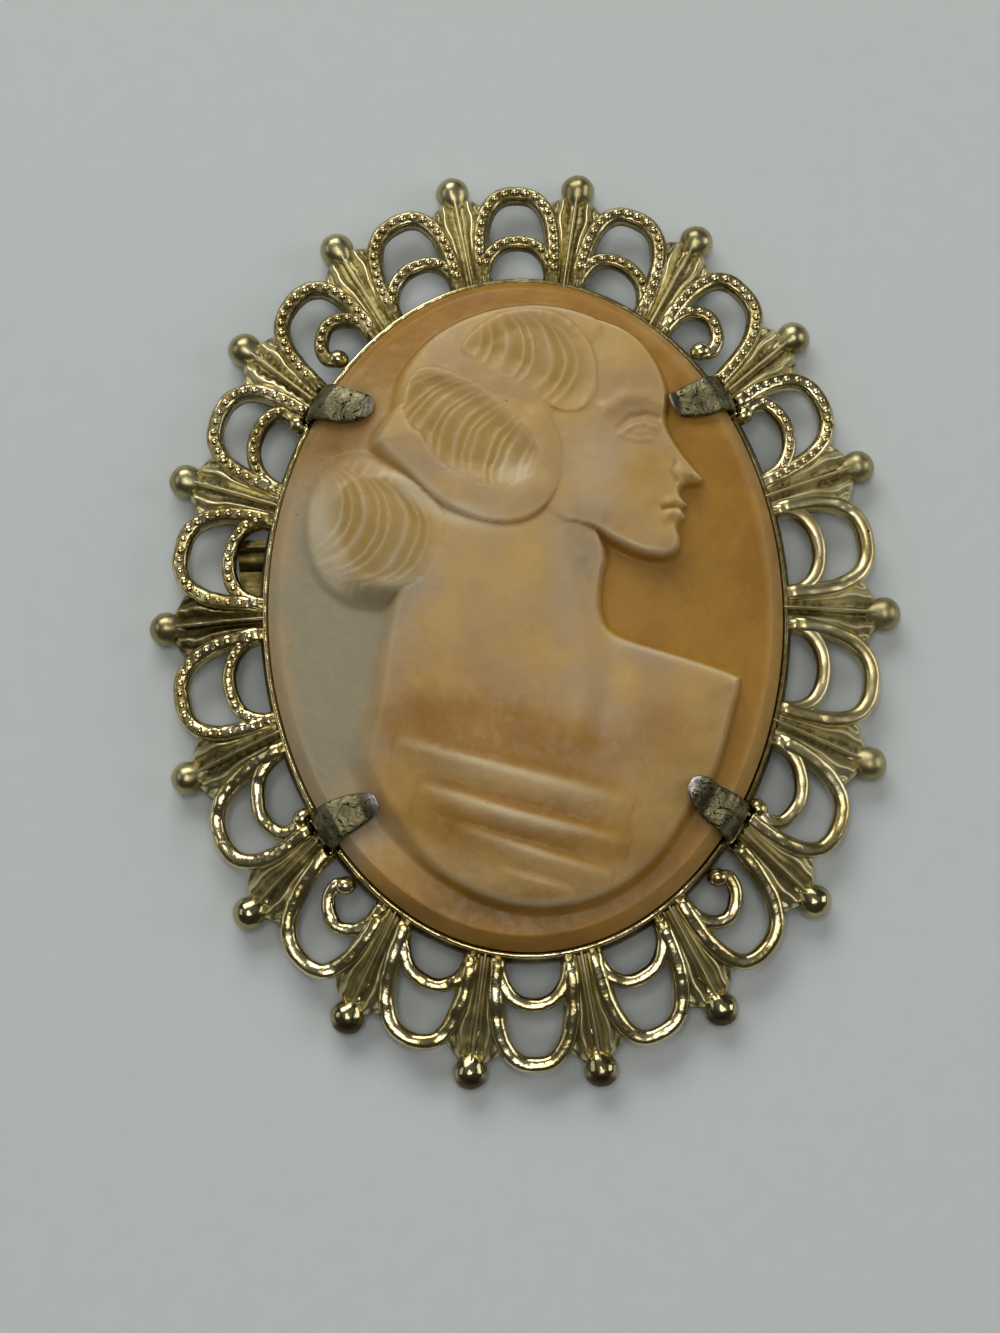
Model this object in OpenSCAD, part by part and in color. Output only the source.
// Oval cameo brooch: a carved shell bust held by four claws in a cast openwork border,
// lying face up on the balls of its rim. Millimetres, +Z up, +Y towards the top of the bust,
// origin on the surface it lies on, under the middle of the oval.

/* [Cameo] */
// Length of the shell oval, top to bottom
cameo_l = 40; // [36:0.5:44]
// Width of the shell oval
cameo_w = 30; // [27:0.5:33]
// Height of the upright edge at the foot of the shell
girdle_h = 0.35; // [0.25:0.05:0.6]
// Height of the sloping edge above it
bevel_h = 1.2; // [0.8:0.1:1.8]
// How far the sloping edge leans in
bevel_in = 0.7; // [0.4:0.05:1]
// Rise of the ground from its edge to the middle
ground_rise = 1.3; // [0.6:0.1:2]
// Height of the carving above the ground, at its usual level
relief_h = 1.6; // [1:0.1:2.2]
// Width of the sloping wall round the carving
relief_wall = 0.55; // [0.4:0.05:0.9]
// How much wider that wall grows towards the left side
wall_soft = 1.7; // [0:0.1:2]
// Depth of the hollow in the back of the shell
back_hollow = 0.45; // [0.2:0.05:0.8]
// Facets across the face of the shell
cameo_steps = 48; // [36:4:52]

/* [Border] */
// Number of fans and of arches round the oval
motifs = 18; // [14:2:22]
// Width of the openwork at the sides, from the ring to the middle of the balls
band_side = 5.8; // [5.2:0.1:6.6]
// Width of the openwork at the top and bottom
band_end = 6.6; // [6:0.1:7.4]
// Drift of the fans towards the sides, in degrees
fan_drift = 0.9; // [0:0.1:2]
// Diameter of the balls
ball_d = 2; // [1.6:0.02:2.2]
// Height of the ring's underside above the surface the brooch lies on
ring_lift = 2.3; // [2:0.1:3]
// Height of the rim's underside above that surface
rim_lift = 0.42; // [0.3:0.02:0.8]
// Thickness of the ledge under the setting
ledge_t = 0.7; // [0.5:0.05:1]
// Width of the ledge inside the edge of the shell
ledge_w = 1.6; // [1.2:0.1:2.2]
// Width of the ring's shoulder outside the lip
shoulder_w = 0.18; // [0.1:0.02:0.4]
// Height of the shoulder above the ring's underside
shoulder_h = 0.85; // [0.75:0.05:1.1]
// Thickness of the lip round the shell
lip_t = 0.3; // [0.2:0.02:0.45]
// Height of the lip above the foot of the shell
lip_h = 0.22; // [0.1:0.02:0.3]
// Width of the outer arches
arch_w = 1.04; // [0.84:0.04:1.4]
// Thickness of the outer arches
arch_t = 1.25; // [1:0.05:1.6]
// Width of the inner arches
inner_w = 0.9; // [0.75:0.05:1.2]
// Thickness of the inner arches
inner_t = 1.1; // [0.9:0.05:1.4]
// Thickness of a fan at its middle rib
fan_t = 1.3; // [1:0.05:1.6]
// Diameter of the balls that end the scrolls
curl_d = 1.1; // [0.9:0.05:1.5]

/* [Setting] */
// Thickness of the seat ring
seat_t = 0.45; // [0.35:0.05:0.7]
// Width of the seat ring
seat_w = 1.3; // [1:0.1:1.8]
// Width of a claw at its foot
claw_w = 2.4; // [1.8:0.1:2.8]
// Width of a claw at its tip
claw_tip_w = 1.6; // [1:0.1:2.2]
// Thickness of a claw
claw_t = 0.55; // [0.4:0.05:0.7]
// How far a claw reaches over the shell
claw_reach = 3.1; // [2.4:0.1:3.6]

/* [Pin] */
// Diameter of the pin stem
stem_d = 0.8; // [0.7:0.05:1]
// Diameter of the barrel at each end of the pin
barrel_d = 1.5; // [1.3:0.05:1.6]
// Height of the barrels above the surface the brooch lies on
barrel_lift = 0.25; // [0.15:0.05:0.4]
// Length of each end fitting
fitting_l = 4; // [3.4:0.1:5]
// Width of the flange of each end fitting
flange_w = 3.4; // [2.8:0.1:4]
// Thickness of the flange
flange_t = 0.45; // [0.3:0.05:0.6]
// Width of the pad that carries a fitting under the ring
pad_w = 1.4; // [1:0.1:2]
// How far the pin lies above the middle of the oval
pin_up = 4.1; // [0:0.1:5]
// How far the hinge stands out past the ring
hinge_out = 1.6; // [1:0.1:2]
// How far the catch stands in from the ring's outer edge
catch_in = 0.3; // [0:0.1:1]

/* [Hidden] */

// Clearance between pieces that seat on each other
gap = 0.05;
// Clearance between the claws and what they pass
claw_gap = 0.09;
half_w = cameo_w / 2;
half_l = cameo_l / 2;

// Heights of the seats, one on the other
seat_z = ring_lift + ledge_t + gap;
cameo_z = seat_z + seat_t + gap;
girdle_z = cameo_z + girdle_h;
edge_z = girdle_z + bevel_h;
top_w = half_w - bevel_in;
top_l = half_l - bevel_in;

// The ring line, where the fans start, and the line through the balls
line_w = half_w + gap + lip_t;
line_l = half_l + gap + lip_t;

function along(a, b, s) = a + (b - a) * s;
function ease(s) = let (c = max(0, min(1, s))) c * c * (3 - 2 * c);

// A place on the border: cell is the fan's number, with its fraction between two fans,
// and out runs from 0 at the ring line to 1 at the balls
function turn_at(cell) = let (even = 360 * cell / motifs) even - fan_drift * sin(2 * even);
function place(cell, out) = let (t = turn_at(cell))
    [(line_w + band_side * out) * cos(t), (line_l + band_end * out) * sin(t)];
// Height of the openwork's underside: it dips from the ring to the rim
function underside(out) = along(ring_lift + root_step, rim_lift, pow(max(out, 0), 1.2));

// A closed tube through rings of points that all have the same number of points
module skin(rings) {
    n = len(rings[0]);
    last = len(rings) - 1;
    polyhedron(
        points = [for (r = rings) each r],
        faces = concat(
            [[for (j = [n - 1 : -1 : 0]) j]],
            [[for (j = [0 : n - 1]) last * n + j]],
            [for (i = [0 : last - 1], j = [0 : n - 1]) let (k = (j + 1) % n)
                each [[i * n + j, i * n + k, (i + 1) * n + k],
                      [i * n + j, (i + 1) * n + k, (i + 1) * n + j]]]));
}

// A ring swept round the oval from an upright section of [out from the shell's edge, height]
module oval_ring(section, steps) {
    n = len(section);
    polyhedron(
        points = [for (i = [0 : steps - 1]) let (t = 360 * i / steps)
            for (q = section) [(half_w + q[0]) * cos(t), (half_l + q[0]) * sin(t), q[1]]],
        faces = [for (i = [0 : steps - 1], j = [0 : n - 1])
            let (a = i * n, b = ((i + 1) % steps) * n, k = (j + 1) % n)
            each [[a + j, b + k, b + j], [a + j, a + k, b + k]]]);
}

// The undersides are stepped: the ring lowest, then the fans, the outer and the inner arches
root_step = 0.1;
outer_step = 0.08;
inner_step = 0.16;

// The line of the arches: a super-ellipse over a cell from fan to fan.
// Share of the cell between a fan and the feet of its arches
arch_foot = 0.15;
// How far out the arches reach, as shares of the band, and how square they bend
outer_reach = 0.92;
inner_reach = 0.42;
outer_bend = 2.6;
inner_bend = 2.2;

// Centre line of an arch as [cell, out], from one turn of its sweep to another
function arch_line(cell, reach, bend, from, steps) = [
    for (i = [0 : steps]) let (
        t = along(from, 180 - from, i / steps),
        c = cos(t),
        side = (c < 0 ? -1 : 1) * pow(abs(c), 2 / bend))
    [cell + 0.5 - side * (0.5 - arch_foot), reach * pow(sin(t), 2 / bend)]];

// A bar with a narrow foot and a domed crest, swept along a line of [cell, out]. The crest leans
// to its outer side. The two ends are smaller, to lie inside the pieces they spring from
crest_lean = 0.14;
module bar(line, w, t, step, lean) {
    flat = [for (q = line) place(q[0], q[1])];
    last = len(line) - 1;
    skin([for (i = [0 : last]) let (
        d = flat[min(i + 1, last)] - flat[max(i - 1, 0)],
        side = [d[1], -d[0]] / norm(d),
        size = i == 0 || i == last ? 0.6 : 1,
        low = underside(line[i][1]) + step,
        high = underside(line[i][1]) + t * (size + 1) / 2)
        [for (q = [[-0.42, 0], [0.42, 0], [0.5, 0.5], [0, 1], [-0.5, 0.5]])
            let (p = flat[i] + side * (q[0] + lean * q[1]) * w * size)
            [p[0], p[1], along(low, high, q[1])]]]);
}

module outer_arch(cell) {
    bar(arch_line(cell, outer_reach, outer_bend, 30, 8), arch_w, arch_t, outer_step, crest_lean);
}

// Scrolls: beside a claw the inner arch ends in a ball instead of a foot
// Columns: share of the cell from the claw's fan, share of the band
near_scroll = [
    [0.25, 0.1], [0.235, 0.24], [0.31, 0.37], [0.5, 0.43], [0.68, 0.36], [0.8, 0.2], [0.84, 0.06]];
far_scroll = [
    [0.45, 0.13], [0.385, 0.22], [0.43, 0.35], [0.57, 0.43], [0.71, 0.36], [0.81, 0.2], [0.84, 0.06]];

claw_step = round(40 * motifs / 360);
claw_fans = [claw_step, motifs / 2 - claw_step, motifs / 2 + claw_step, motifs - claw_step];
function has_claw(fan) = len([for (c = claw_fans) if (c == fan % motifs) c]) > 0;
function scroll_of(cell) =
    abs(sin(turn_at(cell + 0.5))) > sin(turn_at(claw_step)) ? far_scroll : near_scroll;
// The scroll's points run from its ball, at the claw, to its foot, at the other fan
function scroll_line(cell) = let (from_start = has_claw(cell))
    [for (q = scroll_of(cell)) [from_start ? cell + q[0] : cell + 1 - q[0], q[1]]];

module inner_arch(cell) {
    if (has_claw(cell) || has_claw(cell + 1)) {
        line = scroll_line(cell);
        end = place(line[0][0], line[0][1]);
        bar(line, inner_w, inner_t, inner_step, has_claw(cell) ? crest_lean : -crest_lean);
        translate([end[0], end[1], underside(line[0][1]) + inner_t - curl_d * 0.4])
            sphere(d = curl_d, $fn = 10);
    } else {
        bar(arch_line(cell, inner_reach, inner_bend, 24, 6), inner_w, inner_t, inner_step, crest_lean);
    }
}

// Fan: one cast form from the ring to its ball. Near the ring its section has the legs of the
// two arches beside it, further out the flared flutes, and at the end it rounds into the ball.
function pitch(number, out) = norm(place(number + 0.5, out) - place(number - 0.5, out));
function leg_share(out) = let (rise = pow(max(out, 0) / outer_reach, outer_bend))
    0.5 - (0.5 - arch_foot) * pow(1 - rise, 1 / outer_bend);

// Section of a fan: shares of the cell to its edge, ridge and flute, and their heights over the rib's
function fan_section(number, out, edge, ridge, flute, edge_h, ridge_h, flute_h) = let (
    low = underside(out),
    high = low + fan_t)
    [for (q = [[-edge * 0.95, 0], [0, 0], [edge * 0.95, 0], [edge, edge_h], [ridge, ridge_h],
        [flute, flute_h], [0, 1], [-flute, flute_h], [-ridge, ridge_h], [-edge, edge_h]])
        let (p = place(number - q[0], out)) [p[0], p[1], along(low, high, q[1])]];
function leg_section(number, out) = let (c = leg_share(out), w = arch_w / 2 / pitch(number, out))
    fan_section(number, out, c + w, c, c - 0.85 * w, 0.5, arch_t / fan_t, 0.6);
// Columns: share of the band, then shares of the cell and heights as in fan_section
flare_rows = [[0.64, 0.24, 0.17, 0.09, 0.6, 0.8, 0.6], [0.8, 0.21, 0.15, 0.06, 0.62, 0.8, 0.66]];

// Sections of a ball: rings of ten points about the fan's own way out
// Columns: share of the ball's radius along the way out, share of the radius
ball_rows = [[-0.95, 0.5], [-0.5, 0.87], [0.05, 1], [0.6, 0.8], [0.93, 0.37]];
function ball_section(number, row) = let (
    r = ball_d / 2,
    middle = place(number, 1),
    across = unit(place(number - 0.1, 1) - place(number + 0.1, 1)),
    way = [-across[1], across[0]],
    p = middle + way * row[0] * r)
    [for (i = [0 : 9]) let (t = 36 * i - 126, q = p + across * cos(t) * row[1] * r)
        [q[0], q[1], r + sin(t) * row[1] * r]];
function unit(v) = v / norm(v);

module fan(number) {
    skin(concat(
        [for (out = [-0.04, 0.25, 0.5]) leg_section(number, out)],
        [for (q = flare_rows) fan_section(number, q[0], q[1], q[2], q[3], q[4], q[5], q[6])],
        [for (q = ball_rows) ball_section(number, q)]));
}

// The ring: ledge inside, lip round the shell, shoulder outside
lip_in = gap;
lip_out = lip_in + lip_t;
ring_section = [
    [-ledge_w, ring_lift], [lip_out + shoulder_w, ring_lift],
    [lip_out + shoulder_w, ring_lift + shoulder_h * 0.7], [lip_out, ring_lift + shoulder_h],
    [lip_out, cameo_z + lip_h], [lip_in, cameo_z + lip_h],
    [lip_in, ring_lift + ledge_t], [-ledge_w, ring_lift + ledge_t]];

// The way out of the oval at a turn, as a unit vector, and the shell's edge there
function edge_at(t) = [half_w * cos(t), half_l * sin(t)];
function way_out(t) = let (v = [cos(t) / half_w, sin(t) / half_l]) v / norm(v);

// Room that the feet of the claws need in the lip and in the roots of the fans
module claw_notch(fan_number) {
    t = turn_at(fan_number);
    p = edge_at(t);
    n = way_out(t);
    deep = gap + claw_foot_out + claw_gap;
    translate([p[0], p[1], ring_lift + ledge_t])
        rotate(atan2(n[1], n[0]))
        translate([-lip_t, -claw_w / 2 - claw_gap, 0])
        cube([lip_t + deep, claw_w + 2 * claw_gap, edge_z]);
}

module openwork_border() {
    color([0.74, 0.66, 0.42])
    difference() {
        union() {
            oval_ring(ring_section, 48);
            for (m = [0 : motifs - 1]) {
                fan(m);
                outer_arch(m);
                inner_arch(m);
            }
        }
        for (c = claw_fans) claw_notch(c);
    }
}

// The carving is a height above the ground, worked out for any place on the shell.
// Outlines have the columns [across, up], as shares of half the shell's width and length.
head_outline = [
    [0.05, 0.86], [0.25, 0.875], [0.4, 0.84], [0.49, 0.785], [0.545, 0.72], [0.58, 0.65], [0.588, 0.59],
    [0.567, 0.532], [0.615, 0.455], [0.68, 0.39], [0.715, 0.36], [0.69, 0.337], [0.622, 0.328],
    [0.622, 0.302], [0.652, 0.283], [0.622, 0.265], [0.643, 0.243], [0.603, 0.213], [0.618, 0.175],
    [0.608, 0.138], [0.565, 0.112], [0.49, 0.105], [0.36, 0.145], [0.24, 0.2], [0.12, 0.2], [0, 0.3],
    [-0.1, 0.5]];
bust_outline = [
    [0.345, 0.15], [0.305, 0.04], [0.305, -0.05], [0.345, -0.1], [0.59, -0.155], [0.81, -0.21],
    [0.842, -0.235], [0.79, -0.365], [0.735, -0.515], [0.64, -0.6], [0.565, -0.695], [0.46, -0.79],
    [0.295, -0.87], [0.125, -0.905], [-0.045, -0.905], [-0.215, -0.865], [-0.385, -0.785],
    [-0.515, -0.695], [-0.62, -0.59], [-0.7, -0.465], [-0.68, -0.385], [-0.625, -0.27],
    [-0.595, -0.12], [-0.545, 0.01], [-0.5, 0.2], [-0.2, 0.45], [0.2, 0.4]];
cap_outline = [
    [0.36, 0.85], [0.2, 0.9], [0.015, 0.915], [-0.185, 0.885], [-0.36, 0.815], [-0.485, 0.71],
    [-0.53, 0.59], [-0.525, 0.475], [-0.3, 0.36], [0.1, 0.42], [0.3, 0.58], [0.38, 0.7]];
front_wave = [
    [-0.28, 0.755], [-0.2, 0.835], [-0.067, 0.895], [0.093, 0.9], [0.22, 0.86], [0.3, 0.785],
    [0.335, 0.7], [0.33, 0.6], [0.27, 0.535], [0.17, 0.52], [0.08, 0.55], [0, 0.605], [-0.1, 0.655],
    [-0.21, 0.695]];
side_wave = [
    [-0.507, 0.62], [-0.467, 0.7], [-0.37, 0.735], [-0.23, 0.7], [-0.1, 0.635], [0, 0.565],
    [0.08, 0.5], [0.12, 0.43], [0.09, 0.355], [0.01, 0.3], [-0.1, 0.285], [-0.22, 0.31], [-0.33, 0.37],
    [-0.433, 0.445], [-0.507, 0.535]];
hair_roll = [
    [-0.627, 0.5], [-0.573, 0.43], [-0.46, 0.36], [-0.347, 0.28], [-0.24, 0.23], [-0.12, 0.2],
    [-0.01, 0.2], [0.08, 0.235], [0.15, 0.3], [0.19, 0.39], [0.175, 0.49], [0.09, 0.6],
    [-0.133, 0.675], [-0.433, 0.67]];
bun = [
    [-0.5, 0.455], [-0.67, 0.48], [-0.79, 0.435], [-0.855, 0.335], [-0.867, 0.21], [-0.82, 0.09],
    [-0.715, 0.005], [-0.57, -0.025], [-0.42, -0.005], [-0.31, 0.065], [-0.245, 0.17], [-0.26, 0.28],
    [-0.36, 0.385]];

// An outline in millimetres with its corners cut off
function cut_corners(outline) = [
    for (i = [0 : len(outline) - 1]) let (
        a = outline[i],
        b = outline[(i + 1) % len(outline)])
    for (s = [0.25, 0.75]) [along(a[0], b[0], s) * half_w, along(a[1], b[1], s) * half_l]];

// Forms of the carving: the bust, the head and the plain hair
// Columns: outline, level and swell as shares of the relief, wall as a share of relief_wall,
// run of the swell as a share of half the width
plain_forms = [
    [cut_corners(bust_outline), 0.52, 0.36, 1.1, 0.15],
    [cut_corners(head_outline), 0.72, 0.28, 0.9, 0.15],
    [cut_corners(cap_outline), 0.8, 0.3, 1.1, 0.16],
    [cut_corners(hair_roll), 0.86, 0.3, 0.9, 0.067]];
// The three locks lie over them, each scooped out inside a raised frame
// More columns: width of the frame as a share of half the width, depth of the scoop
lock_forms = [
    [cut_corners(front_wave), 0.95, 0.36, 1.1, 0.107, 0.02, 0.19],
    [cut_corners(side_wave), 1, 0.42, 1.1, 0.127, 0.027, 0.225],
    [cut_corners(bun), 0.55, 0.6, 1.45, 0.147, 0.057, 0.24]];
// Width of a scoop's slope, as a share of half the width
scoop_slope = 0.1;

// Soft swellings and hollows of the face and the bust
// Columns: across, up, half length, half width, turn, height
// (places and sizes as shares of half the width or length, heights as shares of the relief)
swells = [
    [0.46, 0.51, 0.1, 0.048, 0, -0.19], [0.457, 0.494, 0.05, 0.023, 0, 0.17],
    [0.44, 0.59, 0.13, 0.022, 5, 0.12], [0.617, 0.368, 0.033, 0.028, 0, 0.12],
    [0.347, 0.345, 0.18, 0.115, 0, 0.17], [0.54, 0.17, 0.06, 0.038, 0, 0.1],
    [0.56, 0.266, 0.05, 0.012, 0, -0.14], [0.427, 0.69, 0.16, 0.09, 0, 0.1],
    [0.553, -0.35, 0.27, 0.17, -20, 0.1], [-0.233, -0.2, 0.33, 0.225, 60, 0.19],
    [0.107, -0.02, 0.17, 0.07, 80, -0.08]];

// Long soft ridges and hollows
// Columns: start and end [across, up], half width as a share of half the width, height
ridges = [
    [[0.16, 0.25], [0.5, 0.13], 0.037, 0.07], [[0.2, 0.03], [0.17, -0.4], 0.06, 0.08],
    [[0.32, -0.11], [0.26, -0.42], 0.053, -0.08], [[0.36, -0.145], [0.787, -0.245], 0.047, 0.07],
    [[-0.547, -0.03], [-0.66, -0.33], 0.047, 0.06]];

// Folds of the drape: steep above the crest, gentle below it
// Columns: start, middle and end of the crest, half width as a share of half the width, height
folds = [
    [[-0.513, -0.415], [-0.2, -0.48], [0.393, -0.605], 0.057, 0.19],
    [[-0.427, -0.54], [-0.067, -0.63], [0.373, -0.715], 0.053, 0.19],
    [[-0.307, -0.65], [0, -0.735], [0.307, -0.81], 0.05, 0.16],
    [[-0.147, -0.77], [0.033, -0.82], [0.173, -0.85], 0.04, 0.1]];

function on_shell(q) = [q[0] * half_w, q[1] * half_l];
function share_along(p, a, b) = let (ab = b - a) max(0, min(1, ((p - a) * ab) / (ab * ab)));
function near(p, a, b) = norm(p - along(a, b, share_along(p, a, b)));
function crossings(p, line) = len([for (i = [0 : len(line) - 1])
    let (a = line[i], b = line[(i + 1) % len(line)])
    if ((a[1] > p[1]) != (b[1] > p[1]) && p[0] < a[0] + (b[0] - a[0]) * (p[1] - a[1]) / (b[1] - a[1])) i]);
// How deep a place lies inside an outline, and 0 outside it
function depth_in(p, line) = crossings(p, line) % 2 == 0 ? 0
    : min([for (i = [0 : len(line) - 1]) near(p, line[i], line[(i + 1) % len(line)])]);
// Width of a form's wall at a place, with the softer walls of the left side
function wall_at(p, row) = relief_wall * row[3] * (1 + wall_soft * ease((-p[0] / half_w - 0.3) / 0.4));
// Height of a form at a depth inside it: a wall and a top that swells away from it
function form(p, row, depth) = depth <= 0 ? 0
    : relief_h * (row[1] * ease(depth / wall_at(p, row)) + row[2] * (1 - exp(-depth / half_w / row[4])));

// Distance in shares of an oval's radii: 0 at its middle, 1 at its edge
function oval_share(p, row) = let (
    d = p - on_shell(row),
    u = (d[0] * cos(row[4]) + d[1] * sin(row[4])) / (row[2] * half_w),
    v = (d[1] * cos(row[4]) - d[0] * sin(row[4])) / (row[3] * half_l))
    norm([u, v]);
function bell(s) = exp(-s * s);
function sum(list) = list * [for (q = list) 1];
function swell_at(p) = sum([for (row = swells) row[5] * bell(oval_share(p, row))]);
function ridge_at(p) = sum([for (row = ridges)
    row[3] * bell(near(p, on_shell(row[0]), on_shell(row[1])) / half_w / row[2])]);
// Height of one half of a fold: from its end, where it runs out, to its middle
function half_fold(p, end, middle, width, height) = let (
    s = share_along(p, end, middle),
    d = p - along(end, middle, s),
    spread = d[1] > 0 ? 0.55 : 1.5)
    height * sqrt(s) * bell(norm(d) / half_w / width / spread);
function fold_at(p) = max([for (row = folds, i = [0, 2])
    half_fold(p, on_shell(row[i]), on_shell(row[1]), row[3], row[4])]);

// Height with the locks laid over it, from a number in lock_forms on
function with_locks(p, z, number) = number == len(lock_forms) ? z : let (
    row = lock_forms[number],
    depth = depth_in(p, row[0]),
    top = form(p, row, depth),
    scoop = relief_h * row[6] * ease((depth / half_w - row[5]) / scoop_slope))
    with_locks(p, top > z ? top - scoop : z, number + 1);
function carving(p) = let (
    heights = [for (row = plain_forms) form(p, row, depth_in(p, row[0]))],
    body = max(heights[0], heights[1]),
    soft = body <= 0 ? 0 : relief_h * (swell_at(p) + ridge_at(p) + fold_at(p)) * ease(body / relief_h * 1.3))
    with_locks(p, max(body + soft, heights[2], heights[3]), 0);

// Height of the shell's face at a place
function ground(p) = let (s = norm([p[0] / top_w, p[1] / top_l]))
    s <= 1 ? edge_z + ground_rise * (1 - s * s)
    : edge_z - bevel_h * min(1, (s - 1) * top_w / bevel_in);
function face_z(p) = ground(p) + carving(p);

// A square net laid over an oval, with its lines drawn closer together towards the head
function closer(s, middle, pull) = s - pull * (sin(180 * (s - middle)) - sin(180 * middle));
function net(i, j, steps) = let (
    a = closer(2 * i / steps - 1, 0.5, 0.09),
    b = closer(2 * j / steps - 1, 0.45, 0.06))
    [a * sqrt(1 - b * b / 2), b * sqrt(1 - a * a / 2)];

module cameo() {
    n = cameo_steps;
    top = [for (j = [0 : n], i = [0 : n]) let (q = net(i, j, n), p = [q[0] * top_w, q[1] * top_l])
        [p[0], p[1], face_z(p)]];
    // The net's border, counter-clockwise
    rim = concat([for (i = [0 : n - 1]) [i, 0]], [for (j = [0 : n - 1]) [n, j]],
        [for (i = [n : -1 : 1]) [i, n]], [for (j = [n : -1 : 1]) [0, j]]);
    m = len(rim);
    start = len(top);
    // Bands below the rim. Columns: how far in from the edge, height
    bands = [[0, girdle_z], [0, cameo_z], [ledge_w, cameo_z]];
    below = [for (band = bands) for (r = rim) let (q = net(r[0], r[1], n))
        [q[0] * (half_w - band[0]), q[1] * (half_l - band[0]), band[1]]];
    centre = start + len(below);
    rim_id = [for (r = rim) r[1] * (n + 1) + r[0]];
    color([0.93, 0.76, 0.6])
    polyhedron(
        points = concat(top, below, [[0, 0, cameo_z + back_hollow]]),
        faces = concat(
            [for (j = [0 : n - 1], i = [0 : n - 1]) let (a = j * (n + 1) + i, b = a + n + 1)
                each (i + j) % 2 == 0
                    ? [[a, b + 1, a + 1], [a, b, b + 1]]
                    : [[a, b, a + 1], [a + 1, b, b + 1]]],
            [for (i = [0 : m - 1]) let (k = (i + 1) % m)
                each [[rim_id[i], start + k, start + i], [rim_id[i], rim_id[k], start + k]]],
            [for (s = [0 : len(bands) - 2], i = [0 : m - 1])
                let (k = (i + 1) % m, a = start + s * m, b = a + m)
                each [[a + i, b + k, b + i], [a + i, a + k, b + k]]],
            [for (i = [0 : m - 1]) let (k = (i + 1) % m, a = start + (len(bands) - 1) * m)
                [a + i, a + k, centre]]));
}

// Claws, bent by hand
// Columns: number in claw_fans, way the tip points, in degrees off the level line
claw_turns = [[0, 17], [1, 10], [2, 22], [3, 36]];
claw_foot_out = claw_t + claw_gap;

// Stations of a claw up to the shell's shoulder. Columns: out from the shell's edge, height,
// way its outer face looks (out, up), thickness
foot_mid = seat_z + seat_t / 2;
claw_mid_out = claw_gap + claw_t / 2;
claw_rise = [
    [-seat_w * 0.5, foot_mid, 0, -1, seat_t * 0.9], [0, foot_mid, 0, -1, seat_t * 0.9],
    [claw_mid_out, foot_mid + claw_t * 0.4, 0.7, -0.7, claw_t],
    [claw_mid_out, girdle_z + 0.15 * bevel_h, 1, 0, claw_t],
    [claw_mid_out - bevel_in * 0.3, girdle_z + 0.72 * bevel_h, 0.8, 0.6, claw_t]];
// Stations over the shell
// Columns: share of the reach, width as a share from foot to tip, thickness as a share of claw_t
claw_over = [
    [0.1, 0.1, 1], [0.3, 0.3, 1], [0.55, 0.55, 0.95], [0.8, 0.85, 0.85], [0.94, 1.2, 0.7], [1, 2, 0.4]];

// Highest place of the shell's face under a stretch of a claw
function under_claw(p, way, side, w) = max([for (a = [-0.25, 0.25], b = [-0.5, 0, 0.5])
    face_z(p + way * a + side * b * w)]);

module claw(number) {
    t = turn_at(claw_fans[number]);
    p = edge_at(t);
    out = way_out(t);
    tip_turn = claw_turns[number][1];
    tip_way = -[sign(out[0]) * cos(tip_turn), sign(out[1]) * sin(tip_turn)];
    foot_side = [-out[1], out[0]];
    rise = [for (q = claw_rise) claw_section([p[0] + out[0] * q[0], p[1] + out[1] * q[0], q[1]],
        foot_side, claw_w, q[4], [out[0] * q[2], out[1] * q[2], q[3]])];
    over = [for (q = claw_over) let (
        way = unit(along(-out, tip_way, ease(q[0] * 1.6))),
        at = p + along(-out, tip_way, 0.25 + 0.75 * q[0]) * q[0] * claw_reach,
        side = [way[1], -way[0]],
        w = along(claw_w, claw_tip_w, q[1]),
        z = max(under_claw(at, way, side, w), edge_z) + claw_gap + claw_t * q[2] / 2,
        face = q[0] < 0.2 ? unit([-way[0], -way[1], 1.6]) : [0, 0, 1])
        claw_section([at[0], at[1], z], side, w, claw_t * q[2], face)];
    skin(concat(rise, over));
}
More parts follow.
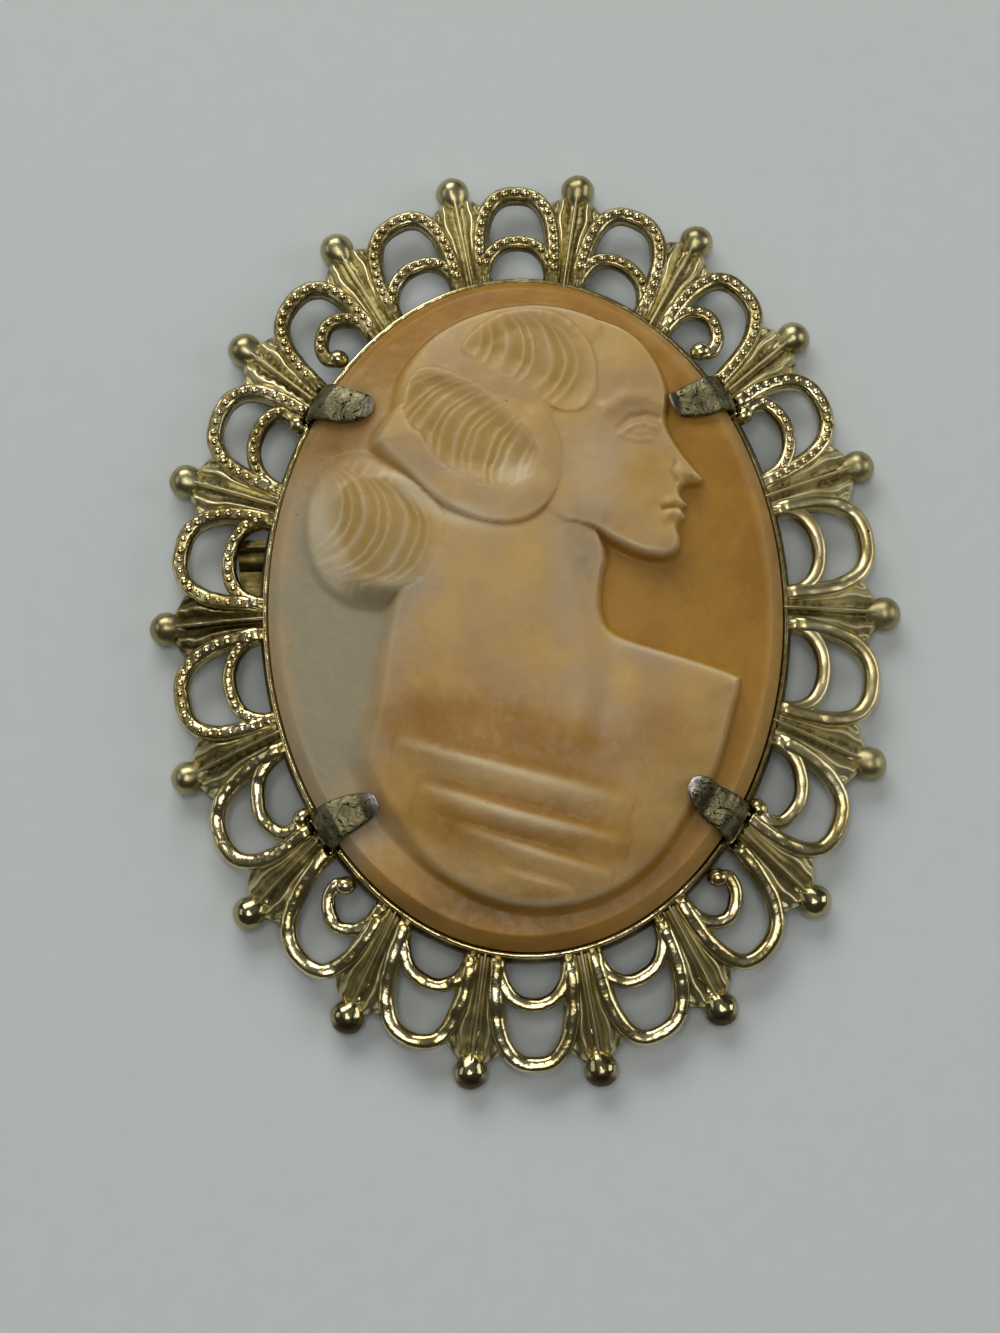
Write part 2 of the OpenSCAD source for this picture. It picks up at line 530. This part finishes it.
// Section of a claw: flat inside, crowned outside; face is the way its outer face looks
function claw_section(p, side, w, t, face) = [
    for (q = [[-0.5, -0.5], [0.5, -0.5], [0.5, 0.05], [0.22, 0.5], [-0.22, 0.5], [-0.5, 0.05]])
    p + [side[0] * q[0] * w, side[1] * q[0] * w, 0] + face * q[1] * t];

module claw_setting() {
    color([0.55, 0.53, 0.5])
    union() {
        translate([0, 0, seat_z]) linear_extrude(seat_t) difference() {
            polygon([for (i = [0 : 71]) let (t = 5 * i)
                [(half_w - claw_gap) * cos(t), (half_l - claw_gap) * sin(t)]]);
            polygon([for (i = [0 : 71]) let (t = 5 * i)
                [(half_w - claw_gap - seat_w) * cos(t), (half_l - claw_gap - seat_w) * sin(t)]]);
        }
        for (c = [0 : 3]) claw(c);
    }
}

// Pin: under each side of the ring a barrel on a flange, hung from the ring by a pad,
// and the stem between the two barrels
pin_z = barrel_lift + barrel_d / 2;
ring_out = lip_out + shoulder_w;
// Where the ring's outer edge lies at the pin
pin_side = (half_w + ring_out) * sqrt(1 - pow(pin_up / (half_l + ring_out), 2));
hinge_far = pin_side + hinge_out;
catch_far = pin_side - catch_in;
pad_l = ring_out + ledge_w * 0.6;

// An end fitting; side is -1 for the hinge and 1 for the catch, far is where it ends
module fitting(side, far) {
    middle = side * (far - fitting_l / 2);
    translate([middle, pin_up, pin_z]) rotate([0, 90, 0])
        cylinder(d = barrel_d, h = fitting_l, center = true, $fn = 48);
    translate([middle, pin_up - flange_w * 0.15, pin_z - barrel_d * 0.1])
        cube([fitting_l, flange_w, flange_t], center = true);
    translate([side * (pin_side - pad_l / 2), pin_up, (pin_z + ring_lift - gap) / 2])
        cube([pad_l, pad_w, ring_lift - gap - pin_z], center = true);
}

module pin_back() {
    color([0.72, 0.55, 0.25]) {
        fitting(-1, hinge_far);
        fitting(1, catch_far);
        translate([(catch_far - hinge_far) / 2, pin_up, pin_z]) rotate([0, 90, 0])
            cylinder(d = stem_d, h = hinge_far + catch_far - fitting_l, center = true, $fn = 48);
    }
}

openwork_border();
claw_setting();
cameo();
pin_back();
